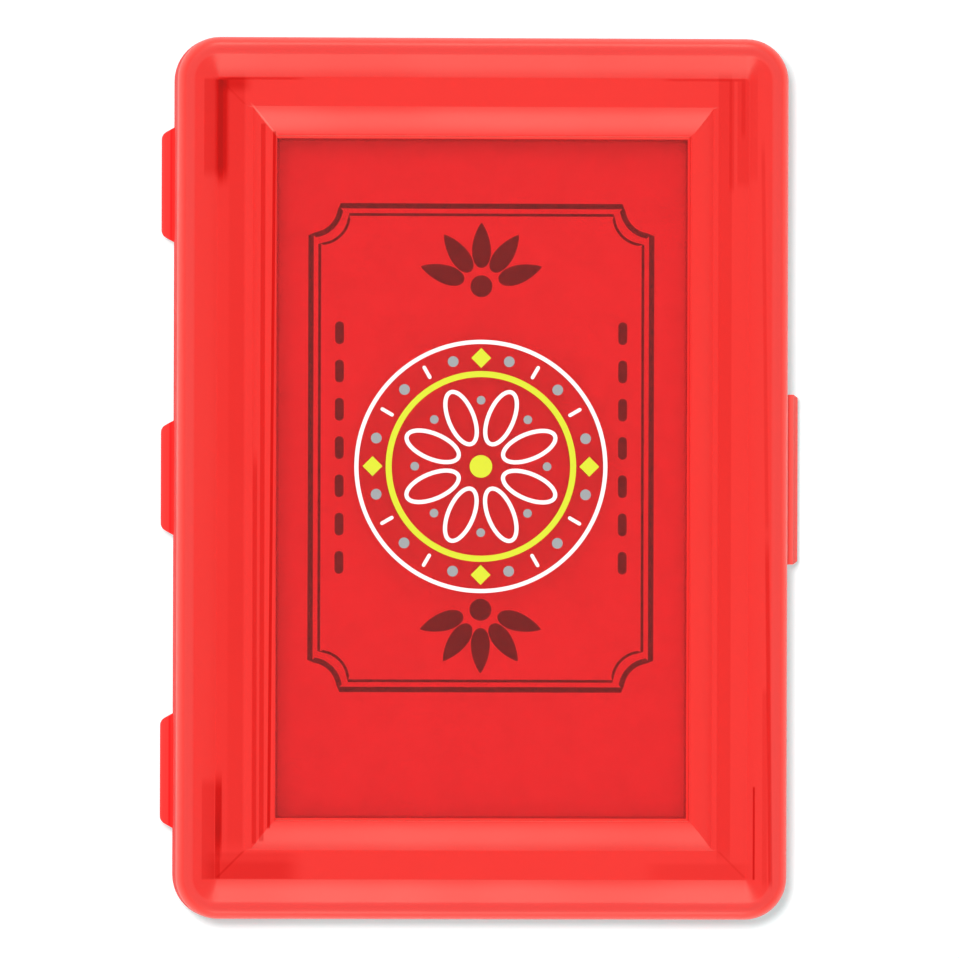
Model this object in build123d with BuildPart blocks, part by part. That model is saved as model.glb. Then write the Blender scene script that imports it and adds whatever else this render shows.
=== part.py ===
"""Hinged plastic playing card case with its deck, modelled closed and lying on its back.

The case is a clamshell: a tray and a lid of equal depth, joined along the left side by three living
hinges and held shut on the right side by a springy latch tongue. The lid carries a picture-frame
moulding: a rounded roll round the outside, a flat channel inside it, then a convex bevel that climbs
to a thin ridge round the recessed window. A full deck lies inside, pushed against the upper end
wall, so that a finger gap is left below it.

The origin is the centre of the tray's underside. +Z points up through the window, +Y points to the
upper end of the case and +X to the latch. Sizes are in millimetres.
"""

import os
from math import acos, atan2, cos, hypot, pi, radians, sin

from build123d import *

# Deck
card_width = 63.5
card_length = 88.9
card_thickness = 0.3
card_corner_radius = 3.2
card_corner_sides = 5
card_count = 54
deck_jitter = 0.12
deck_jitter_step_x = 2.4
deck_jitter_step_y = 3.1

# Room around the deck
side_clearance = 2.05
upper_end_clearance = 1.25
finger_gap = 8.45
headroom = 1.9

# Moulded walls
wall = 1.5
floor_thickness = 1.5
panel_thickness = 1.0
wall_draft = 0.2
inner_edge_radius = 1.0
foot_radius = 2.4

# Frame moulding on the lid
roll_width = 4.75
roll_shoulder_radius = 1.4
roll_crest_radius = 1.6
roll_rise = 1.4
crease_corner_radius = 0.3
crease_fillet = 0.2
frame_width = 11.55
side_bevel_width = 2.5
side_toe_width = 0.75
end_bevel_width = 3.1
end_toe_width = 0.15
toe_height = 0.06
bevel_rise = 1.1
ridge_land = 0.2
ridge_slope = radians(8)
window_drop = 0.6
ridge_fillet = 0.14

# Lip that lines the halves up
lip_height = 1.0
lip_thickness = 0.7
lip_clearance = 0.12

# Living hinges
hinge_inset = 17.0
leaf_root_length = 13.2
leaf_tip_length = 11.6
leaf_corner_radius = 1.0
leaf_reach = 0.95
leaf_thickness = 0.9
leaf_gap = 0.4
web_thickness = 0.3

# Latch tongue and its catch
latch_width = 19.6
latch_height = 7.2
latch_root_height = 1.2
latch_pad_reach = 0.15
latch_end_chamfer = 0.35
tongue_gap = 0.3
tongue_thickness = 0.6
tongue_shoulder_radius = 0.4
thumb_lip_flare = 0.9
thumb_lip_height = 1.5
catch_width = 14.0
catch_drop = 2.6
catch_height = 1.1
catch_land = 0.4
catch_rooting = 0.4
catch_pocket_depth = 0.5
catch_clearance = 0.05
nib_seat_gap = 0.1
nib_height = 0.35
latch_side_clearance = 0.4

# Sizes that follow
deck_height = card_count * card_thickness
case_width = card_width + 2 * (side_clearance + wall)
case_length = card_length + upper_end_clearance + finger_gap + 2 * wall
corner_radius = roll_width + crease_corner_radius
ceiling = floor_thickness + deck_height + headroom
channel_level = ceiling + panel_thickness
case_depth = channel_level + roll_rise
ridge_level = channel_level + bevel_rise
parting = case_depth / 2
window_width = case_width - 2 * frame_width
window_length = case_length - 2 * frame_width
deck_y = case_length / 2 - wall - upper_end_clearance - card_length / 2
leaf_tip_x = -case_width / 2 - leaf_reach
web_inner_radius = leaf_gap / 2
web_outer_radius = web_inner_radius + web_thickness
web_face_x = leaf_tip_x - web_outer_radius
hinge_axis_x = leaf_tip_x - pi * (web_inner_radius + web_thickness / 2) / 2
hinge_positions = [case_length / 2 - hinge_inset, 0, hinge_inset - case_length / 2]
latch_face_x = case_width / 2 + latch_pad_reach
latch_top = parting + latch_height / 2
latch_bottom = parting - latch_height / 2


def rim_path():
    """The case's outline as one closed line, from the middle of the hinge side."""
    with BuildLine() as outline:
        FilletPolyline(
            (-case_width / 2, 0),
            (-case_width / 2, case_length / 2),
            (case_width / 2, case_length / 2),
            (case_width / 2, 0),
            radius=corner_radius,
        )
        mirror(about=Plane.XZ)
    return outline.wire()


def rim_plane():
    """The upright plane across the rim where its outline starts, measured inward from the outline."""
    return Plane(origin=(-case_width / 2, 0, 0), x_dir=(1, 0, 0), z_dir=(0, -1, 0))


def lid_rim_section():
    """Section of the lid's side wall and roll: distance in from the outline, then height.

    Past its crest the roll bends over and then falls in a straight incline to the crease.
    """
    spring_level = case_depth - roll_shoulder_radius
    crest = (wall_draft + roll_shoulder_radius, case_depth)
    crest_centre_level = case_depth - roll_crest_radius
    run = roll_width - crest[0]
    drop = channel_level - crest_centre_level
    incline_turn = atan2(drop, run) + acos(roll_crest_radius / hypot(run, drop))
    incline_top = (
        crest[0] + roll_crest_radius * cos(incline_turn),
        crest_centre_level + roll_crest_radius * sin(incline_turn),
    )
    rebate_inset = wall - lip_thickness - lip_clearance
    rebate_level = parting + lip_height + lip_clearance
    with BuildSketch(rim_plane()) as section:
        with BuildLine():
            Polyline((rebate_inset, parting), (0, parting), (wall_draft, spring_level))
            TangentArc((wall_draft, spring_level), crest, tangent=(0, 1))
            TangentArc(crest, incline_top, tangent=(1, 0))
            Polyline(
                incline_top,
                (roll_width, channel_level),
                (roll_width, ceiling),
                (wall + inner_edge_radius, ceiling),
            )
            TangentArc(
                (wall + inner_edge_radius, ceiling),
                (wall, ceiling - inner_edge_radius),
                tangent=(-1, 0),
            )
            Polyline(
                (wall, ceiling - inner_edge_radius),
                (wall, rebate_level),
                (rebate_inset, rebate_level),
                (rebate_inset, parting),
            )
        make_face()
    return section.sketch


def tray_rim_section():
    """Section of the tray's side wall, rounded foot and upstanding lip."""
    lip_inset = wall - lip_thickness
    with BuildSketch(rim_plane()) as section:
        with BuildLine():
            Polyline((lip_inset, parting), (0, parting), (wall_draft, foot_radius))
            TangentArc((wall_draft, foot_radius), (wall_draft + foot_radius, 0), tangent=(0, -1))
            Polyline(
                (wall_draft + foot_radius, 0),
                (roll_width, 0),
                (roll_width, floor_thickness),
                (wall + inner_edge_radius, floor_thickness),
            )
            TangentArc(
                (wall + inner_edge_radius, floor_thickness),
                (wall, floor_thickness + inner_edge_radius),
                tangent=(-1, 0),
            )
            Polyline(
                (wall, floor_thickness + inner_edge_radius),
                (wall, parting + lip_height),
                (lip_inset, parting + lip_height),
                (lip_inset, parting),
            )
        make_face()
    return section.sketch


def hinge_plan(positions, inner_x, outer_x):
    """Plan of the hinges at these places along the case, between two distances from its middle.

    Each hinge narrows from its root in the wall to its folded edge, where its corners are rounded.
    """
    root_x = -case_width / 2
    with BuildSketch() as plan:
        with Locations(*[(0, y) for y in positions]):
            Polygon(
                (root_x + wall / 2, leaf_root_length / 2),
                (root_x, leaf_root_length / 2),
                (web_face_x, leaf_tip_length / 2),
                (web_face_x, -leaf_tip_length / 2),
                (root_x, -leaf_root_length / 2),
                (root_x + wall / 2, -leaf_root_length / 2),
                align=None,
            )
        outer_corners = plan.vertices().group_by(Axis.X)[0]
        fillet(outer_corners, leaf_corner_radius)
        with Locations((inner_x, 0)):
            Rectangle(
                inner_x - outer_x,
                case_length,
                align=(Align.MAX, Align.CENTER),
                mode=Mode.INTERSECT,
            )
    return plan.sketch


def hinge_leaves(level):
    """The three leaves' plan at a height: all of the hinges but their folded edges."""
    leaf_root_x = wall / 2 - case_width / 2
    return Plane.XY.offset(level) * hinge_plan(hinge_positions, leaf_root_x, leaf_tip_x)


def make_bevel_frame():
    """The raised moulding round the window: two long mouldings that cross, mitred where they meet.

    Each falls from its ridge in a convex bevel and runs out in a shallow toe. The sides are narrower
    and have the wider toe.
    """
    sides = (
        Plane.XZ.offset(-case_length / 2),
        (window_width / 2, side_bevel_width, side_toe_width),
        case_length,
        Mode.ADD,
    )
    ends = (
        Plane.YZ.offset(-case_width / 2),
        (window_length / 2, end_bevel_width, end_toe_width),
        case_width,
        Mode.INTERSECT,
    )
    toe_level = channel_level + toe_height
    fall = (cos(ridge_slope), -sin(ridge_slope))
    with BuildPart() as bevel_frame:
        for plane, (half_window, bevel_width, toe_width), moulding_length, mode in (sides, ends):
            land = half_window + ridge_land
            toe = land + bevel_width
            foot = toe + toe_width
            with BuildSketch(plane):
                with BuildLine():
                    TangentArc((land, ridge_level), (toe, toe_level), tangent=fall)
                    Polyline(
                        (toe, toe_level),
                        (foot, channel_level),
                        (-foot, channel_level),
                        (-toe, toe_level),
                    )
                    TangentArc((-land, ridge_level), (-toe, toe_level), tangent=(-fall[0], fall[1]))
                    Line((-land, ridge_level), (land, ridge_level))
                make_face()
            extrude(amount=moulding_length, mode=mode)
        with BuildSketch(Plane.XY.offset(ridge_level)):
            Rectangle(window_width, window_length)
        extrude(amount=-window_drop, mode=Mode.SUBTRACT)
        window_rim = bevel_frame.faces().filter_by(Axis.Z).sort_by(Axis.Z)[-1].inner_wires()[0]
        fillet(window_rim.edges(), ridge_fillet)
    return bevel_frame.part


def make_lid_cover():
    """The lid: swept side wall and roll, panel, bevelled window frame, hinge leaves and latch pad."""
    bevel_frame = make_bevel_frame()
    with BuildPart() as lid_cover:
        add(lid_rim_section())
        sweep(path=rim_path())
        with BuildSketch(Plane.XY.offset(ceiling)):
            RectangleRounded(
                case_width - 2 * roll_width,
                case_length - 2 * roll_width,
                crease_corner_radius,
            )
        extrude(amount=panel_thickness)
        crease = lid_cover.faces().filter_by(Axis.Z).group_by(Axis.Z)[-1].sort_by(SortBy.AREA)[-1]
        fillet(crease.outer_wire().edges(), crease_fillet)
        add(bevel_frame)
        add(hinge_leaves(parting + leaf_gap / 2))
        extrude(amount=leaf_thickness)
        with BuildSketch(Plane.XY.offset(latch_top - latch_root_height)):
            with Locations((latch_face_x, 0)):
                Rectangle(latch_pad_reach + wall / 2, latch_width, align=(Align.MAX, Align.CENTER))
        extrude(amount=latch_root_height)
    lid_cover.part.label = "lid_cover"
    return lid_cover.part


def make_base_tray():
    """The tray: swept side wall with its lip, floor, hinge leaves, latch pocket and catch rib."""
    pocket_face_x = case_width / 2 - catch_pocket_depth
    catch_level = parting - catch_drop
    with BuildPart() as base_tray:
        add(tray_rim_section())
        sweep(path=rim_path())
        with BuildSketch():
            RectangleRounded(
                case_width - 2 * roll_width,
                case_length - 2 * roll_width,
                crease_corner_radius,
            )
        extrude(amount=floor_thickness)
        add(hinge_leaves(parting - leaf_gap / 2))
        extrude(amount=-leaf_thickness)
        with BuildSketch(Plane.XY.offset(parting)):
            with Locations((pocket_face_x, 0)):
                Rectangle(
                    2 * catch_pocket_depth,
                    latch_width + 2 * latch_side_clearance,
                    align=(Align.MIN, Align.CENTER),
                )
        extrude(amount=-(latch_height / 2 + latch_side_clearance), mode=Mode.SUBTRACT)
        with BuildSketch(Plane.XZ):
            Polygon(
                (pocket_face_x - catch_rooting, catch_level),
                (pocket_face_x + catch_pocket_depth, catch_level),
                (pocket_face_x + catch_pocket_depth, catch_level + catch_land),
                (pocket_face_x, catch_level + catch_height),
                (pocket_face_x - catch_rooting, catch_level + catch_height),
                align=None,
            )
        extrude(amount=catch_width / 2, both=True)
    base_tray.part.label = "base_tray"
    return base_tray.part


def make_latch_tongue():
    """The tongue: a root on the lid's pad, a thin springy wall, a thumb lip and an inward nib."""
    inner_x = case_width / 2 + tongue_gap
    outer_x = inner_x + tongue_thickness
    lip_x = outer_x + thumb_lip_flare
    nib_x = case_width / 2 + catch_clearance
    nib_top = parting - catch_drop - nib_seat_gap
    with BuildPart() as latch_tongue:
        with BuildSketch(Plane.XZ):
            with BuildLine():
                Polyline(
                    (latch_face_x, latch_top),
                    (outer_x - tongue_shoulder_radius, latch_top),
                )
                TangentArc(
                    (outer_x - tongue_shoulder_radius, latch_top),
                    (outer_x, latch_top - tongue_shoulder_radius),
                    tangent=(1, 0),
                )
                Polyline(
                    (outer_x, latch_top - tongue_shoulder_radius),
                    (outer_x, latch_bottom + thumb_lip_height),
                    (lip_x, latch_bottom),
                    (inner_x, latch_bottom),
                    (nib_x, nib_top - nib_height),
                    (nib_x, nib_top),
                    (inner_x, nib_top),
                    (inner_x, latch_top - latch_root_height),
                    (latch_face_x, latch_top - latch_root_height),
                    (latch_face_x, latch_top),
                )
            make_face()
        extrude(amount=latch_width / 2, both=True)
        outer_end_edges = latch_tongue.faces().sort_by(Axis.X)[-1].edges().filter_by(Axis.Y, reverse=True)
        chamfer(outer_end_edges, latch_end_chamfer)
    latch_tongue.part.label = "latch_tongue"
    return latch_tongue.part


def make_hinge_web(y):
    """One living hinge: a thin strip folded into a half circle, as long as the leaves that it joins."""
    with BuildPart() as hinge_web:
        with BuildSketch(Plane.XZ.offset(-y)):
            with Locations((leaf_tip_x, parting)):
                Circle(web_outer_radius)
                Circle(web_inner_radius, mode=Mode.SUBTRACT)
                Rectangle(
                    2 * web_outer_radius,
                    2 * web_outer_radius,
                    align=(Align.MIN, Align.CENTER),
                    mode=Mode.SUBTRACT,
                )
        extrude(amount=leaf_root_length / 2, both=True)
        extrude(hinge_plan([y], leaf_tip_x, web_face_x), amount=case_depth, mode=Mode.INTERSECT)
    return hinge_web.part


def card_corner_points():
    """A card's outline: straight sides joined by round corners that are drawn as short sides."""
    points = []
    for corner, (right, up) in enumerate(((1, 1), (-1, 1), (-1, -1), (1, -1))):
        centre_x = right * (card_width / 2 - card_corner_radius)
        centre_y = up * (card_length / 2 - card_corner_radius)
        for step in range(card_corner_sides + 1):
            turn = (corner + step / card_corner_sides) * pi / 2
            points.append(
                (centre_x + card_corner_radius * cos(turn), centre_y + card_corner_radius * sin(turn))
            )
    return points


def make_card(number):
    """One card of the stack, counted from the bottom and a hair out of square with its neighbours."""
    place = (
        deck_jitter * sin(deck_jitter_step_x * number),
        deck_y + deck_jitter * cos(deck_jitter_step_y * number),
    )
    with BuildPart() as card:
        with BuildSketch(Plane.XY.offset(floor_thickness + (number - 1) * card_thickness)):
            with Locations(place):
                Polygon(*card_corner_points(), align=None)
        extrude(amount=card_thickness)
    return card.part


os.makedirs("parts", exist_ok=True)

base_tray = make_base_tray()
export_step(base_tray, "parts/base_tray.step")

lid_cover = make_lid_cover()
export_step(lid_cover, "parts/lid_cover.step")

latch_tongue = make_latch_tongue()
export_step(latch_tongue, "parts/latch_tongue.step")

for web_name, web_y in zip(("upper", "middle", "lower"), hinge_positions):
    hinge_web = make_hinge_web(web_y)
    hinge_web.label = f"hinge_web_{web_name}"
    export_step(hinge_web, f"parts/{hinge_web.label}.step")

for card_number in range(1, card_count + 1):
    playing_card = make_card(card_number)
    playing_card.label = f"card_{card_number:02d}"
    export_step(playing_card, f"parts/{playing_card.label}.step")

print(f"case {case_width:.1f} x {case_length:.1f} x {case_depth:.1f}, parting at {parting:.2f}")
print(f"window {window_width:.1f} x {window_length:.1f}, ceiling at {ceiling:.2f}")
print(f"hinge axis at x {hinge_axis_x:.3f}, latch axis at x {latch_face_x:.3f}, z {latch_top:.3f}")
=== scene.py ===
"""Dresses the hinged playing card case: its plastic, its prints, its folded hinges and its studio.

The case lies on its back on a pale table and is seen from straight above, a little from the hinge
side. All sizes are in metres, in the frame of the case: +Z up through the window, +Y to the upper
end and +X to the latch. The moulded halves and the cards keep their solids and are given finishes.
The folded hinge strips are modelled here, and the prints are thin ink films.
"""

from __future__ import annotations

import logging
from dataclasses import dataclass, field
from enum import Enum
from math import cos, pi, radians, sin, tau
from typing import Union

import bmesh
import bpy
from mathutils import Matrix, Vector


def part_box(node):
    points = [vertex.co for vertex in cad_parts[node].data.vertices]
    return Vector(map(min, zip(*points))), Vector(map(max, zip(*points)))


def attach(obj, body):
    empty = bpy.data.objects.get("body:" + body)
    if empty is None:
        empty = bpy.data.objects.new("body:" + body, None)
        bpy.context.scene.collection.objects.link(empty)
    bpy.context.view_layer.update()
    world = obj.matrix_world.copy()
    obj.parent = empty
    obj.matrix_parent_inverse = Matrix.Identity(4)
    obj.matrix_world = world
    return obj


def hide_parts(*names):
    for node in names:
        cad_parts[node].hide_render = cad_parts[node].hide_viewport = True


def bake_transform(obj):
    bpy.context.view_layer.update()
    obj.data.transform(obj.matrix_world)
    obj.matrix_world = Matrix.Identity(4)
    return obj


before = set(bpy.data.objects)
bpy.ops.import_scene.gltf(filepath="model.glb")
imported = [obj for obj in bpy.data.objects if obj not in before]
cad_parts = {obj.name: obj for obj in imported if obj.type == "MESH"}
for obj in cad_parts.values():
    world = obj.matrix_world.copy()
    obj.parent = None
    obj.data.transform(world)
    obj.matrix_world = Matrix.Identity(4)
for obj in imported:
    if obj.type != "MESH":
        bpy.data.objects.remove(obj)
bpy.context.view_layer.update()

logging.basicConfig(level=logging.INFO, format="%(message)s")
log = logging.getLogger("card_case")

Point = tuple[float, float]
Place = tuple[float, float, float]
Colour = tuple[float, float, float, float]
Socket = bpy.types.NodeSocket
Outputs = bpy.types.bpy_prop_collection
Source = Union[Socket, float, Place, Colour]

BLACK = (0.0, 0.0, 0.0, 1.0)
WHITE = (1.0, 1.0, 1.0, 1.0)

# A Mix node's sockets for colours
MIX_FIRST, MIX_SECOND, MIX_RESULT = 6, 7, 2


class Body(Enum):
    """The rigid bodies that pieces ride on."""

    BASE = "base"
    LID = "lid"


class Slot(Enum):
    """The record's material slots."""

    PLASTIC = "case_plastic"
    CARD = "card_stock"


class Corner(Enum):
    """How the corners of a printed rectangle are shaped."""

    ROUND = "round"
    SCOOPED = "scooped"


def srgb(red: float, green: float, blue: float) -> Colour:
    """Turns a colour as a screen shows it, 0 to 255, into the linear colour that shaders take.

    Args:
        red: Red, 0 to 255.
        green: Green, 0 to 255.
        blue: Blue, 0 to 255.

    Returns:
        The linear colour with full alpha.
    """

    def linear(channel: float) -> float:
        """One channel of the conversion."""
        share = channel / 255
        return share / 12.92 if share <= 0.04045 else ((share + 0.055) / 1.055) ** 2.4

    return linear(red), linear(green), linear(blue), 1.0


class NodeSheet:
    """A material's or world's node tree with short calls for adding and linking nodes."""

    def __init__(self, tree: bpy.types.NodeTree) -> None:
        """Empties the tree.

        Args:
            tree: The node tree to fill.
        """
        self.tree = tree
        tree.nodes.clear()

    def add(
        self, kind: str, inputs: dict[str | int, Source] | None = None, **settings: object
    ) -> bpy.types.Node:
        """Adds a node, sets its properties and feeds its inputs.

        Args:
            kind: The node's type name.
            inputs: What each input takes, by the input's name or number.
            **settings: Properties of the node, by name.

        Returns:
            The new node.
        """
        node = self.tree.nodes.new(kind)
        for name, value in settings.items():
            setattr(node, name, value)
        for key, source in (inputs or {}).items():
            if isinstance(source, Socket):
                self.tree.links.new(source, node.inputs[key])
            else:
                node.inputs[key].default_value = source
        return node

    def math(self, operation: str, first: Source, second: Source = 0.0) -> Socket:
        """Adds a Math node.

        Args:
            operation: The operation's name.
            first: The first number.
            second: The second number.

        Returns:
            The result.
        """
        return self.add("ShaderNodeMath", {0: first, 1: second}, operation=operation).outputs[0]

    def ramp(
        self, value: Source, low: float, high: float, to_low: Source, to_high: Source
    ) -> Socket:
        """Adds a smooth step from one value to another.

        Args:
            value: What is mapped.
            low: Where the step starts.
            high: Where the step ends.
            to_low: The result at and before low.
            to_high: The result at and past high.

        Returns:
            The mapped value.
        """
        inputs = {"Value": value, "From Min": low, "From Max": high, "To Min": to_low, "To Max": to_high}
        return self.add("ShaderNodeMapRange", inputs, interpolation_type="SMOOTHSTEP").outputs[0]

    def between(self, share: Source, first: Source, second: Source) -> Socket:
        """Eases from one number to another as a share goes from 0 to 1."""
        return self.ramp(share, 0.0, 1.0, first, second)

    def axes(self, place: Source) -> Outputs:
        """Splits coordinates into their X, Y and Z outputs."""
        return self.add("ShaderNodeSeparateXYZ", {0: place}).outputs

    def noise(self, place: Source, scale: float, detail: float) -> Socket:
        """Adds a Noise Texture.

        Args:
            place: The coordinates, in metres.
            scale: Features per metre.
            detail: Octaves.

        Returns:
            The noise, 0 to 1.
        """
        inputs = {"Vector": place, "Scale": scale, "Detail": detail}
        return self.add("ShaderNodeTexNoise", inputs).outputs["Fac"]

    def blend_colours(self, share: Source, first: Source, second: Source) -> Socket:
        """Mixes two colours.

        Args:
            share: How much of the second, 0 to 1.
            first: The first colour.
            second: The second colour.

        Returns:
            The mixed colour.
        """
        inputs = {"Factor": share, MIX_FIRST: first, MIX_SECOND: second}
        return self.add("ShaderNodeMix", inputs, data_type="RGBA").outputs[MIX_RESULT]

    def filter_colour(self, colour: Source, red: Source, rest: Source) -> Socket:
        """Dims a colour's red by one share and its green and blue by another.

        Args:
            colour: The colour.
            red: How much red is left, 0 to 1.
            rest: How much green and blue is left, 0 to 1.

        Returns:
            The dimmed colour.
        """
        share = self.add("ShaderNodeCombineColor", {"Red": red, "Green": rest, "Blue": rest})
        inputs = {"Factor": 1.0, MIX_FIRST: colour, MIX_SECOND: share.outputs[0]}
        mix = self.add("ShaderNodeMix", inputs, data_type="RGBA", blend_type="MULTIPLY")
        return mix.outputs[MIX_RESULT]

    def bump(self, height: Source, depth: float, strength: float) -> Socket:
        """Adds a Bump node.

        Args:
            height: The height map.
            depth: Height in metres of a full step of the map.
            strength: How much of it shows, 0 to 1.

        Returns:
            The bumped normal.
        """
        inputs = {"Strength": strength, "Distance": depth, "Height": height}
        return self.add("ShaderNodeBump", inputs).outputs["Normal"]


@dataclass(frozen=True)
class ShadeBand:
    """A band of painted shade on the lid, for dark reflections and the shade of its inner step.

    It runs along Y from low to high at x, and leans from there by its slope. Depth is the share of
    the colour that it takes away, softness is how wide its sides fade, and the two fades are how far
    its ends do.
    """

    x: float
    low: float
    high: float
    half_width: float
    depth: float
    softness: float = 0.00015
    low_fade: float = 0.0015
    high_fade: float = 0.0015
    lean: float = 0.0

    def cover(self, sheet: NodeSheet, x: Source, y: Source) -> Socket:
        """Works out how much of the colour the streak lets through.

        Args:
            sheet: The node tree.
            x: The coordinate across, in metres.
            y: The coordinate along, in metres.

        Returns:
            1 outside the streak, and less inside it.
        """
        upright = sheet.math("SUBTRACT", x, sheet.math("MULTIPLY", y, self.lean))
        across = sheet.math("ABSOLUTE", sheet.math("SUBTRACT", upright, self.x))
        inside = sheet.ramp(across, self.half_width, self.half_width + self.softness, 1.0, 0.0)
        above = sheet.ramp(y, self.low - self.low_fade, self.low, 0.0, 1.0)
        below = sheet.ramp(y, self.high, self.high + self.high_fade, 1.0, 0.0)
        length = sheet.math("MULTIPLY", above, below)
        shade = sheet.math("MULTIPLY", sheet.math("MULTIPLY", inside, length), self.depth)
        return sheet.math("SUBTRACT", 1.0, shade)


# Painted shade in the upper left corner of the channel and the roll beside it
UPPER_LEFT_STREAKS = (
    ShadeBand(-0.0302, 0.036, 0.0456, 0.0002, 0.3, 0.0002, low_fade=0.003, high_fade=0.0002),
    ShadeBand(-0.0300, 0.036, 0.0456, 0.0003, 0.5, 0.0007, low_fade=0.003, high_fade=0.0002),
    ShadeBand(-0.0313, 0.0356, 0.0456, 0.0007, 0.2, high_fade=0.0004),
    ShadeBand(-0.0288, 0.0452, 0.0458, 0.0008, 0.32, 0.0018, low_fade=0.0013, high_fade=0.0002),
    ShadeBand(-0.0256, 0.04578, 0.04592, 0.0035, 0.25, 0.0020, low_fade=0.00012, high_fade=0.00012),
)

# Painted shade in the upper right corner
UPPER_RIGHT_STREAKS = (
    ShadeBand(0.02856, 0.0340, 0.0456, 0.0002, 0.16, high_fade=0.0003),
    ShadeBand(0.0299, 0.0345, 0.0456, 0.0006, 0.13, high_fade=0.0003),
    ShadeBand(0.0299, 0.0402, 0.0452, 0.00015, 0.14),
    ShadeBand(0.0311, 0.0352, 0.0456, 0.00035, 0.08),
    ShadeBand(0.0256, 0.04578, 0.04592, 0.0035, 0.2, 0.0020, low_fade=0.00012, high_fade=0.00012),
)

# Painted shade in the lower left corner and the lower channel
LOWER_LEFT_STREAKS = (
    ShadeBand(-0.0302, -0.0405, -0.0362, 0.0003, 0.5, low_fade=0.004, high_fade=0.003),
    ShadeBand(-0.0303, -0.0459, -0.0405, 0.0002, 0.25, low_fade=0.0002, high_fade=0.003),
    ShadeBand(-0.0314, -0.0459, -0.0356, 0.00065, 0.17, low_fade=0.0003),
    ShadeBand(-0.0263, -0.0459, -0.0433, 0.0034, 0.13, 0.0030, low_fade=0.0002, high_fade=0.0006),
    ShadeBand(-0.0263, -0.0459, -0.0445, 0.0028, 0.14, 0.0036, low_fade=0.0002, high_fade=0.0009),
)

# Painted shade in the lower right corner
LOWER_RIGHT_STREAKS = (
    ShadeBand(0.0313, -0.0459, -0.0355, 0.00006, 0.5, 0.0001, low_fade=0.0002, high_fade=0.0003),
    ShadeBand(0.0325, -0.0459, -0.0250, 0.0002, 0.12),
    ShadeBand(0.0249, -0.0459, -0.0445, 0.0040, 0.1, 0.0030, low_fade=0.0002, high_fade=0.0006),
)

# Painted shade in long lines down both rolls and channels, and down the bevel on the hinge side
LONG_STREAKS = (
    ShadeBand(0.0326, -0.005, 0.036, 0.0001, 0.15, 0.0002, high_fade=0.004, lean=-0.0123),
    ShadeBand(0.0326, -0.0459, -0.010, 0.00012, 0.27, 0.0002, high_fade=0.005, lean=-0.0123),
    ShadeBand(0.02782, -0.0420, 0.0456, 0.0007, 0.13, low_fade=0.003),
    ShadeBand(-0.02895, -0.0410, 0.0456, 0.00135, 0.08, 0.0004, low_fade=0.003),
    ShadeBand(-0.0283, -0.0410, 0.0450, 0.0007, 0.07, 0.0004, low_fade=0.003),
    ShadeBand(-0.02612, -0.0418, 0.0, 0.00018, 0.26, 0.00012, low_fade=0.0003, high_fade=0.004),
    ShadeBand(-0.0253, -0.0415, 0.0405, 0.0002, 0.3, 0.00012, low_fade=0.0003, high_fade=0.0003),
    ShadeBand(-0.02424, -0.0400, 0.0396, 0.00012, 0.5, 0.0001, 0.0003, 0.0003, lean=0.0056),
)

# Painted shade along diagonals from the bevel's outer corners to the crease's corners
MITRE_STREAKS = tuple(
    ShadeBand(-side * 0.0155, low, low + 0.0027, 0.00008, depth, 0.00016, 0.0002, 0.0004, slope)
    for side, low, slope, depth in (
        (-1, 0.0430, -1.0, 0.1),
        (1, -0.0457, -1.0, 0.12),
        (-1, -0.0457, 1.0, 0.2),
    )
)

# All the lid's painted shade, gathered
LID_PAINTED_SHADE = (
    UPPER_LEFT_STREAKS
    + UPPER_RIGHT_STREAKS
    + LOWER_LEFT_STREAKS
    + LOWER_RIGHT_STREAKS
    + LONG_STREAKS
    + MITRE_STREAKS
)

# Bright lines where the bevel's foot and its upper left mitre catch the light
LID_GLINTS = (
    ShadeBand(0.0, 0.03908, 0.0393, 0.0236, 0.32, 0.0001, low_fade=0.00004, high_fade=0.00006),
    ShadeBand(0.0, -0.0393, -0.03908, 0.0236, 0.16, 0.0001, low_fade=0.00006, high_fade=0.00004),
    ShadeBand(0.0073, 0.0392, 0.0426, 0.00006, 0.35, 0.00012, 0.0001, 0.0006, lean=-0.79),
)


@dataclass(frozen=True)
class Finish:
    """A procedural finish. Each kind says how its surface is shaded."""

    name: str

    def make(self) -> bpy.types.Material:
        """Builds the material.

        Returns:
            The finished material.
        """
        material = bpy.data.materials.new(self.name)
        material.use_nodes = True
        sheet = NodeSheet(material.node_tree)
        place = sheet.add("ShaderNodeTexCoord").outputs["Object"]
        sheet.add("ShaderNodeOutputMaterial", {"Surface": self.surface(sheet, place)})
        return material

    def surface(self, sheet: NodeSheet, place: Source) -> Socket:
        """Builds the nodes of the surface.

        Args:
            sheet: The node tree.
            place: The coordinates, in metres.

        Returns:
            The shader.
        """
        raise NotImplementedError


@dataclass
class Look:
    """What a plastic is like from point to point."""

    colour: Source
    reflection: Source
    clearness: Source
    roughness: Source


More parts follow.
